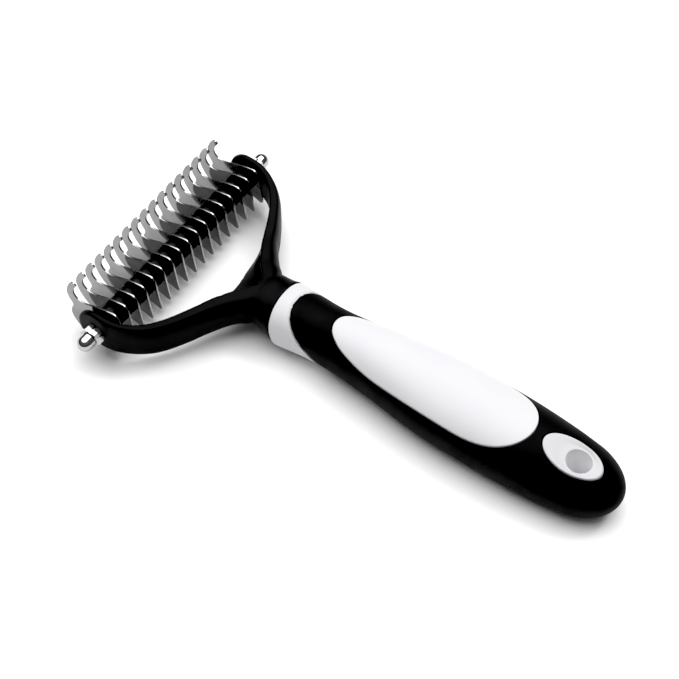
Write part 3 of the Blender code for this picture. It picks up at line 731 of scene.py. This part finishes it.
def neck_ring(x, half_width, low, high, exponent):
    """Rounded-oval section of the neck, leaning more and more towards the collar's front."""
    lean = COLLAR_FRONT_LEAN * x / NECK_SECTIONS[-1][0]
    middle = (low + high) / 2
    ring = []
    for angle in full_turn(HANDLE_SEGMENTS):
        y = half_width * signed_power(math.cos(angle), 2 / exponent)
        z = middle + (high - low) / 2 * signed_power(math.sin(angle), 2 / exponent)
        ring.append((x + lean * (z - HANDLE_MID_Z), y, z))
    return ring


def tang_bar(name, start, end, gap=0.0):
    """Square bar along the handle, the tang's size grown all round by gap."""
    half_y = TANG_WIDTH / 2 + gap
    half_z = TANG_HEIGHT / 2 + gap
    corners = [(half_y, half_z), (-half_y, half_z), (-half_y, -half_z), (half_y, -half_z)]
    return loft(name, [[(x, y, TANG_Z + z) for y, z in corners] for x in (start, end)])


def groove_tool(sign):
    """Tool that cuts the sunk groove of one side of the throat."""
    outline = refine_closed(GROOVE_OUTLINE, GROOVE_PARTS)
    return loft("groove", [[(x, sign * y, z) for x, y in outline] for z in (GROOVE_FLOOR_Z, CUT_HIGH_Z)])


def build_yoke(material):
    """Two arms in one sweep, a flared neck and a hidden tang, blended like one moulding."""
    yoke = loft("moulded_yoke", [arm_ring(section) for section in arm_sections()])
    neck = loft("neck", [neck_ring(*section) for section in refine(NECK_SECTIONS, SECTION_PARTS)])
    combine(yoke, neck, "UNION")
    combine(yoke, tang_bar("tang", TANG_START_X, TANG_END_X), "UNION")
    reach = ARM_OUTER_Y + CUT_EXTRA
    combine(yoke, turned("bore", [(BORE_RADIUS, -reach), (BORE_RADIUS, reach)]), "DIFFERENCE")
    for sign in (1, -1):
        combine(yoke, groove_tool(sign), "DIFFERENCE")
    soften(yoke, YOKE_VOXEL, YOKE_SWELL)
    finish_piece(yoke, [material], "handle", "yoke", MOULD_SMOOTH_ANGLE)


# ---------------------------------------------------------------- handle

def eased(left, right, slope_left, slope_right, t):
    """Value between left and right on the curve that has these slopes at its ends."""
    return (
        (2 * t ** 3 - 3 * t ** 2 + 1) * left + (t ** 3 - 2 * t ** 2 + t) * slope_left
        + (3 * t ** 2 - 2 * t ** 3) * right + (t ** 3 - t ** 2) * slope_right)


def handle_size(x):
    """Half width, underside and top of the handle at x, smooth through the table."""
    table = HANDLE_SECTIONS
    x = min(max(x, table[0][0]), table[-1][0])
    index = 0
    while index < len(table) - 2 and x > table[index + 1][0]:
        index += 1
    before = table[max(index - 1, 0)]
    left = table[index]
    right = table[index + 1]
    after = table[min(index + 2, len(table) - 1)]
    span = right[0] - left[0]
    sizes = []
    for column in (1, 2, 3):
        slope_left = (right[column] - before[column]) / (right[0] - before[0]) * span
        slope_right = (after[column] - left[column]) / (after[0] - left[0]) * span
        t = (x - left[0]) / span
        sizes.append(eased(left[column], right[column], slope_left, slope_right, t))
    half_width, low, high = sizes
    if x > END_ROUND_X:
        share = (x - END_ROUND_X) / (HANDLE_END_X - END_ROUND_X)
        scale = math.sqrt(max(1 - share ** 2, 0.0))
        middle = (low + high) / 2
        half_width *= scale
        low = middle + (low - middle) * scale
        high = middle + (high - middle) * scale
    return half_width, max(low, 0.0), high


def handle_point(x, angle, inset):
    """Y and Z of a point of the handle's surface at x, moved inwards by inset."""
    half_width, low, high = handle_size(x)
    middle = (low + high) / 2
    exponent = UPPER_EXPONENT if math.sin(angle) >= 0 else LOWER_EXPONENT
    y = (half_width - inset) * signed_power(math.cos(angle), 2 / exponent)
    z = middle + ((high - low) / 2 - inset) * signed_power(math.sin(angle), 2 / exponent)
    return y, z


def handle_ring(x, lean=0.0, inset=0.0):
    """Ring of surface points lying in a plane that leans by lean."""
    ring = []
    for angle in full_turn(HANDLE_SEGMENTS):
        here = x
        for _ in range(LEAN_PASSES):
            y, z = handle_point(here, angle, inset)
            here = x + lean * (z - HANDLE_MID_Z)
        ring.append((here, y, z))
    return ring


def top_height(x, y):
    """Height of the handle's upper surface."""
    half_width, low, high = handle_size(x)
    middle = (low + high) / 2
    share = min(abs(y) / half_width, 1.0)
    return middle + (high - middle) * (1 - share ** UPPER_EXPONENT) ** (1 / UPPER_EXPONENT)


def sweep(start, end, start_lean, end_lean, inset=0.0):
    """Rings from start to end while their lean fades from one value to the other."""
    count = max(round((end - start) / STATION_STEP), 1)
    rings = []
    for step in range(count + 1):
        share = step / count
        lean = start_lean + (end_lean - start_lean) * share
        rings.append(handle_ring(start + (end - start) * share, lean, inset))
    return rings


def build_core(material):
    """White core: the collar in front and a tongue inside the grip."""
    wall = GRIP_WALL + FIT_GAP
    back = GRIP_FRONT_X - FIT_GAP / math.cos(math.atan(GRIP_FRONT_LEAN))
    rings = []
    for angle in reversed(arc(EDGE_STEPS)):
        along = COLLAR_FRONT_X + COLLAR_EDGE * (1 - math.sin(angle))
        rings.append(handle_ring(along, COLLAR_FRONT_LEAN, COLLAR_EDGE * (1 - math.cos(angle))))
    rings += sweep(COLLAR_FRONT_X + 2 * COLLAR_EDGE, back, COLLAR_FRONT_LEAN, GRIP_FRONT_LEAN)
    rings.append(handle_ring(back, GRIP_FRONT_LEAN, wall))
    rings += sweep(GRIP_STRAIGHT_X + STATION_STEP, CORE_END_X, 0.0, 0.0, wall)
    core = loft("moulded_core", rings)
    socket = tang_bar("socket", TANG_START_X - SOCKET_LEAD, TANG_END_X + FIT_GAP, FIT_GAP)
    combine(core, socket, "DIFFERENCE")
    finish_piece(core, [material], "handle", "handle_core", WHITE_SMOOTH_ANGLE)


def grip_rings():
    """Rings of the sleeve, from the bottom of its cavity round the front edge to the rounded end."""
    cavity = sweep(GRIP_STRAIGHT_X + STATION_STEP, CORE_END_X + FIT_GAP, 0.0, 0.0, GRIP_WALL)
    rings = list(reversed(cavity))
    rings.append(handle_ring(GRIP_FRONT_X, GRIP_FRONT_LEAN, GRIP_WALL))
    rings += sweep(GRIP_FRONT_X, GRIP_STRAIGHT_X, GRIP_FRONT_LEAN, 0.0)
    rings += sweep(GRIP_STRAIGHT_X + STATION_STEP, END_ROUND_X, 0.0, 0.0)
    length = HANDLE_END_X - END_ROUND_X
    for angle in arc(END_STATIONS, *END_ANGLES):
        rings.append(handle_ring(END_ROUND_X + length * math.sin(angle)))
    return rings


def build_grip(material):
    """Black sleeve with a pocket for the pad, a seat for the eyelet and a hole for its tube."""
    grip = loft("soft_grip", grip_rings())
    soften(grip, GRIP_VOXEL)
    radius = EYELET_TUBE_RADIUS + FIT_GAP
    tools = [
        patch("pocket", grow(pad_outline(), FIT_GAP), CUT_RISE, -PAD_DEPTH - FIT_GAP),
        patch("seat", grow(eyelet_outline(), FIT_GAP), CUT_RISE, -EYELET_DEPTH - FIT_GAP),
        loft("hole", [oval(HANG_HOLE_X, radius, radius, z) for z in (CUT_LOW_Z, CUT_HIGH_Z)]),
    ]
    for tool in tools:
        combine(grip, tool, "DIFFERENCE")
    finish_piece(grip, [material], "handle", "grip_sleeve", MOULD_SMOOTH_ANGLE)


def pad_outline():
    """Whole oval of the pad as (x, y) points."""
    return refine_closed(PAD_OUTLINE + [(x, -y) for x, y in reversed(PAD_OUTLINE[1:-1])], OUTLINE_PARTS)


def oval(centre_x, half_length, half_width, z=0.0):
    """Ring of points in a level plane."""
    ring = []
    for angle in full_turn(EYELET_SEGMENTS):
        ring.append((centre_x + half_length * math.cos(angle), half_width * math.sin(angle), z))
    return ring


def eyelet_outline():
    """Oval of the eyelet as (x, y) points."""
    return [(x, y) for x, y, _ in oval(EYELET_CENTRE_X, EYELET_HALF_LENGTH, EYELET_HALF_WIDTH)]


def outline_middle(outline):
    """Middle x, half length and half width of an oval outline."""
    low = min(x for x, _ in outline)
    high = max(x for x, _ in outline)
    return (low + high) / 2, (high - low) / 2, max(y for _, y in outline)


def grow(outline, distance):
    """Move every point of an oval outline outwards, or inwards if distance is negative."""
    centre_x, half_length, half_width = outline_middle(outline)
    stretch_x = 1 + distance / half_length
    stretch_y = 1 + distance / half_width
    return [(centre_x + (x - centre_x) * stretch_x, y * stretch_y) for x, y in outline]


def patch(name, outline, lift, drop, edge=0.0):
    """Lens that follows the handle's top, from drop below the surface to lift above it."""
    inner = grow(outline, -edge)
    layers = [(inner, step / PAD_RINGS, lift) for step in range(1, PAD_RINGS + 1)]
    if edge:
        for angle in arc(EDGE_STEPS)[1:]:
            rim = grow(outline, -edge * (1 - math.sin(angle)))
            layers.append((rim, 1.0, lift - edge * (1 - math.cos(angle))))
    layers += [(outline, step / PAD_RINGS, drop) for step in range(PAD_RINGS, 0, -1)]
    centre = (outline_middle(outline)[0], 0.0)
    rings = []
    for shape, share, offset in layers:
        spots = [blend(centre, point, share) for point in shape]
        rings.append([(x, y, top_height(x, y) + offset) for x, y in spots])
    return loft(name, rings)


def build_pad(material):
    """Smooth white inlay under the thumb, with a rounded edge."""
    pad = patch("inlaid_thumb_pad", pad_outline(), PAD_RAISE, -PAD_DEPTH, PAD_EDGE)
    finish_piece(pad, [material], "handle", "thumb_pad", WHITE_SMOOTH_ANGLE)


def eyelet_ring(share, radius, drop=None, z=None):
    """Ring between the eyelet's oval (share 0) and a circle about the hanging hole (share 1).

    It lies at height z, or follows the handle's top at a depth of drop.
    """
    outer = oval(EYELET_CENTRE_X, EYELET_HALF_LENGTH, EYELET_HALF_WIDTH)
    inner = oval(HANG_HOLE_X, radius, radius)
    ring = []
    for outer_point, inner_point in zip(outer, inner):
        x, y, _ = blend(outer_point, inner_point, share)
        height = z if drop is None else top_height(x, y) - drop
        ring.append((x, y, height))
    return ring


def eyelet_rings(low):
    """Rings of the eyelet: lip, dish, rounded edge of the hole, tube down to low, and underside."""
    rings = [eyelet_ring(0.0, HANG_HOLE_RADIUS, drop=drop) for drop in (EYELET_DEPTH / 2, EYELET_LIP)]
    for step in range(1, EYELET_STEPS + 1):
        share = step / EYELET_STEPS
        dip = EYELET_DISH * (1 - math.cos(math.pi * share)) / 2
        rings.append(eyelet_ring(DISH_START + (DISH_END - DISH_START) * share, HANG_HOLE_RADIUS, drop=dip))
    for angle in arc(EDGE_STEPS)[1:]:
        share = DISH_END + (1 - DISH_END) * math.sin(angle)
        dip = EYELET_DISH + HOLE_EDGE_DROP * (1 - math.cos(angle))
        rings.append(eyelet_ring(share, HANG_HOLE_RADIUS, drop=dip))
    rings += [eyelet_ring(1.0, radius, z=low) for radius in (HANG_HOLE_RADIUS, EYELET_TUBE_RADIUS)]
    for share in (1.0, 0.5, 0.0):
        depth = EYELET_DEPTH - EYELET_UNDERSIDE_RISE * (1 - share)
        rings.append(eyelet_ring(share, EYELET_TUBE_RADIUS, drop=depth))
    return rings


def build_eyelet(material, painted_light_wall):
    """White ring dished round the hanging hole; the wall of its tube gets a brighter white of its own,
    painted light that lifts the shade inside the hole.
    """
    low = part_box("hang_eyelet")[0].z / MM
    eyelet = loft("moulded_eyelet", eyelet_rings(low), closed=True)
    finish_piece(eyelet, [material, painted_light_wall], "handle", "hang_eyelet", WHITE_SMOOTH_ANGLE)
    hole = place((HANG_HOLE_X, 0.0, 0.0))
    # Faces of the hole's wall take the brighter white: painted light in place of the shade in the hole.
    for face in eyelet.data.polygons:
        across = hole - face.center
        inward = face.normal.x * across.x + face.normal.y * across.y > 0.0
        face.material_index = 1 if inward and abs(face.normal.z) < WALL_SLOPE else 0


# ---------------------------------------------------------------- studio

def build_floor():
    """Large pale floor under the object."""
    mesh = bpy.data.meshes.new("floor")
    signs = ((-1, -1), (1, -1), (1, 1), (-1, 1))
    mesh.from_pydata([(x * FLOOR_REACH, y * FLOOR_REACH, 0.0) for x, y in signs], [], [(0, 1, 2, 3)])
    mesh.materials.append(floor_look())
    floor = new_piece("floor", mesh)


def aim(item, target):
    """Turn a light or camera to look at a point."""
    direction = Vector(target) - item.location
    item.rotation_euler = direction.to_track_quat("-Z", "Y").to_euler()


def add_sun(name, toward, spread, strength):
    """Very wide, distant soft box; toward points from the object to the light."""
    light = bpy.data.lights.new(name, "SUN")
    light.angle = math.radians(spread)
    light.energy = strength
    lamp = bpy.data.objects.new(name, light)
    bpy.context.scene.collection.objects.link(lamp)
    lamp.location = toward
    aim(lamp, (0.0, 0.0, 0.0))


def build_lights():
    """One wide soft box overhead and a smaller one behind the object."""
    add_sun("overhead", *OVERHEAD)
    add_sun("back_light", *BACK_LIGHT)


def build_world():
    """Dim studio for the light, with a plain white background behind it."""
    world = bpy.data.worlds.new("studio")
    world.use_nodes = True
    nodes = world.node_tree.nodes
    links = world.node_tree.links
    direction = nodes.new("ShaderNodeTexCoord")
    split = nodes.new("ShaderNodeSeparateXYZ")
    ramp = nodes.new("ShaderNodeValToRGB")
    for element, (position, level) in zip(ramp.color_ramp.elements, WORLD_LEVELS):
        element.position = position
        element.color = (level, level, level, 1.0)
    studio = nodes["Background"]
    backdrop = nodes.new("ShaderNodeBackground")
    backdrop.inputs["Color"].default_value = (1.0, 1.0, 1.0, 1.0)
    path = nodes.new("ShaderNodeLightPath")
    choose = nodes.new("ShaderNodeMixShader")
    links.new(direction.outputs["Generated"], split.inputs["Vector"])
    links.new(split.outputs["Z"], ramp.inputs["Fac"])
    links.new(ramp.outputs["Color"], studio.inputs["Color"])
    links.new(path.outputs["Is Camera Ray"], choose.inputs["Fac"])
    links.new(studio.outputs["Background"], choose.inputs[1])
    links.new(backdrop.outputs["Background"], choose.inputs[2])
    links.new(choose.outputs["Shader"], nodes["World Output"].inputs["Surface"])
    bpy.context.scene.world = world


def build_camera():
    """Camera above the near side, looking down along the handle's side."""
    data = bpy.data.cameras.new("camera")
    data.lens = CAMERA_LENS
    data.sensor_width = CAMERA_SENSOR
    data.clip_start = CAMERA_CLIP_START
    camera = bpy.data.objects.new("camera", data)
    bpy.context.scene.collection.objects.link(camera)
    camera.location = CAMERA_PLACE
    aim(camera, CAMERA_AIM)
    bpy.context.scene.camera = camera


def set_contrast():
    """Plain colours, with the darkest tones taken down to black."""
    view = bpy.context.scene.view_settings
    view.view_transform = "Standard"
    view.use_curve_mapping = True
    view.curve_mapping.black_level = (BLACK_LEVEL, BLACK_LEVEL, BLACK_LEVEL)
    view.curve_mapping.update()


# ---------------------------------------------------------------- build

zinc = zinc_look()
chrome = chrome_look()

build_grip(rubber_look())
build_core(white_look("collar_white", (0.60, 0.60, 0.607), 0.46))
build_pad(white_look("pad_white", (0.62, 0.62, 0.627), 0.45))
# The hole's wall gets a brighter white than the rest of the eyelet: painted light that lifts the shade
# inside the hole.
build_eyelet(
    white_look("eyelet_white", (0.53, 0.53, 0.535), 0.42),
    white_look("hole_wall_painted_light", (0.90, 0.90, 0.905), 0.50))
build_yoke(yoke_look())
build_axle(zinc)
build_blades(blade_look(), rim_look())
build_rings(spacer_look(), zinc)
build_cap_nut("far", 1, chrome)
build_cap_nut("near", -1, chrome)

build_floor()
build_lights()
build_world()
build_camera()
set_contrast()
